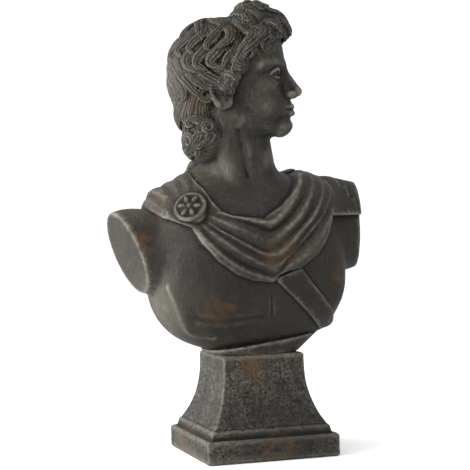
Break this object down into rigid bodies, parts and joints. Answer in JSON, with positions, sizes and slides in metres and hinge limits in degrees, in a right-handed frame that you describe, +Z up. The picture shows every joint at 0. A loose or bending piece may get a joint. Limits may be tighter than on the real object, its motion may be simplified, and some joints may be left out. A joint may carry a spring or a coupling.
{
  "type": "classical bust",
  "caption": "Bust of a classical youth with a cloak pinned at one shoulder, arms cut short, head turned, on a flared square pedestal.",
  "frame": {"origin": "centre of the pedestal's underside", "axes": "+Z up; the chest faces -Y; +X is the figure's left, the way its head is turned"},
  "size_m": [0.4413, 0.2374, 0.7619],
  "materials": {
    "bust_finish": "matt charcoal stone-look paint, dry-brushed paler on the ridges, with rust-brown patches",
    "pedestal_finish": "matt charcoal stone-look paint, pitted and mottled, paler on the edges"
  },
  "bodies": {
    "root": {"bust": "bust_finish", "pedestal": "pedestal_finish"}
  },
  "joints": []
}
